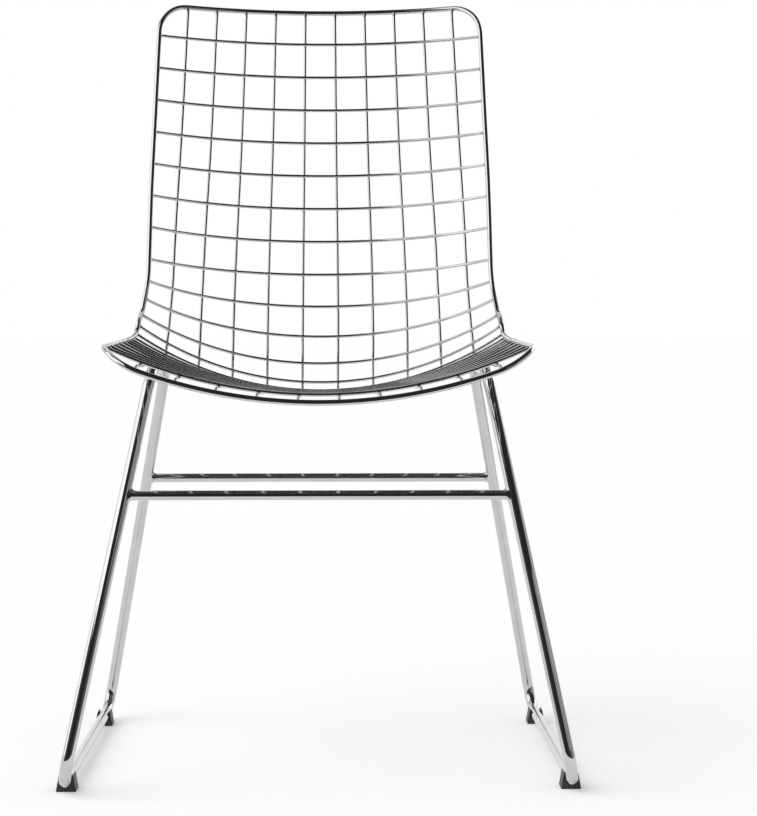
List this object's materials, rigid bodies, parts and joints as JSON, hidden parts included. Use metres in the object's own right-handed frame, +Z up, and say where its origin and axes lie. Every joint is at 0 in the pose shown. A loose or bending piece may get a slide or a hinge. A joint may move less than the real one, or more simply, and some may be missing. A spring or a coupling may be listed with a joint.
{
  "type": "wire mesh chair",
  "caption": "Dining chair with a one-piece dished shell of chromed wire mesh in a rod rim, on a sled base of bent rod loops with spreader bars and small foot pads.",
  "frame": {"origin": "centre of the bounding box in X and Y, at floor level under the foot pads", "axes": "+X to the sitter's left as seen from the front, the sitter faces -Y, +Z up"},
  "size_m": [0.5156, 0.5654, 0.8454],
  "materials": {
    "chrome_rod": "polished chrome plate on bent steel rod",
    "chrome_wire": "polished chrome plate on spot welded steel wire",
    "pad_rubber": "satin black rubber"
  },
  "bodies": {
    "root": {"rim_rod": "chrome_rod", "long_wire_01": "chrome_wire", "long_wire_02": "chrome_wire", "long_wire_03": "chrome_wire", "long_wire_04": "chrome_wire", "long_wire_05": "chrome_wire", "long_wire_06": "chrome_wire", "long_wire_07": "chrome_wire", "long_wire_08": "chrome_wire", "long_wire_09": "chrome_wire", "long_wire_10": "chrome_wire", "cross_wire_01": "chrome_wire", "cross_wire_02": "chrome_wire", "cross_wire_03": "chrome_wire", "cross_wire_04": "chrome_wire", "cross_wire_05": "chrome_wire", "cross_wire_06": "chrome_wire", "cross_wire_07": "chrome_wire", "cross_wire_08": "chrome_wire", "cross_wire_09": "chrome_wire", "cross_wire_10": "chrome_wire", "cross_wire_11": "chrome_wire", "cross_wire_12": "chrome_wire", "cross_wire_13": "chrome_wire", "cross_wire_14": "chrome_wire", "cross_wire_15": "chrome_wire", "cross_wire_16": "chrome_wire", "cross_wire_17": "chrome_wire", "cross_wire_18": "chrome_wire", "cross_wire_19": "chrome_wire", "cross_wire_20": "chrome_wire", "cross_wire_21": "chrome_wire", "cross_wire_22": "chrome_wire", "side_frame_left": "chrome_rod", "side_frame_right": "chrome_rod", "spreader_front": "chrome_rod", "spreader_rear": "chrome_rod", "foot_pad_front_left": "pad_rubber", "foot_pad_front_right": "pad_rubber", "foot_pad_rear_left": "pad_rubber", "foot_pad_rear_right": "pad_rubber"}
  },
  "joints": []
}
